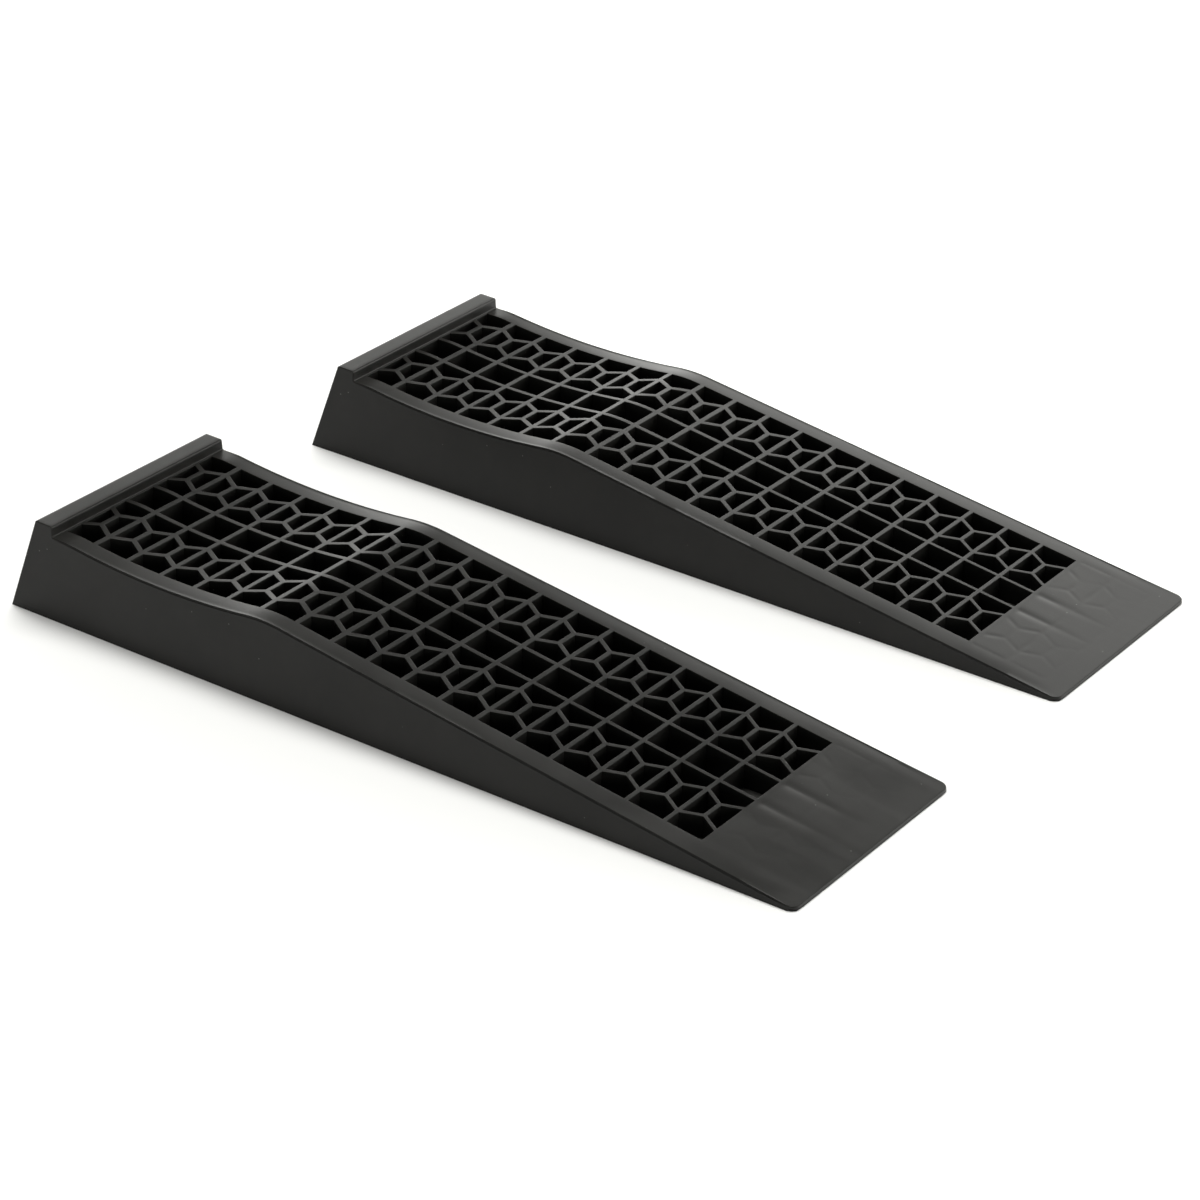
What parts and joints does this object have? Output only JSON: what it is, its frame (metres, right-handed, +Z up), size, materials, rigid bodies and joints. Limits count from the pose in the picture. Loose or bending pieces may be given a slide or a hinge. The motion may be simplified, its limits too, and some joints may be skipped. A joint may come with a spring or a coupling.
{
  "type": "vehicle levelling ramp set",
  "caption": "Low plastic wheel ramps for levelling a parked trailer or camper, with an open honeycomb deck, a shallow wheel cradle and a raised stop lip",
  "frame": {"origin": "on the ground, midway between the two ramps and midway along their length", "axes": "+X runs along the ramps from the tall end to the thin toe, +Y from the left ramp to the right ramp as seen when driving up, +Z up"},
  "size_m": [0.9, 0.718, 0.098],
  "materials": {
    "ramp_plastic": "satin"
  },
  "bodies": {
    "left": {"left_ramp": "ramp_plastic"},
    "right": {"right_ramp": "ramp_plastic"}
  },
  "joints": [
    {"name": "right_ramp_spacing", "type": "slide", "parent": "left", "child": "right", "axis": [0, 1, 0], "range_m": [-0.19, 1.44]}
  ]
}
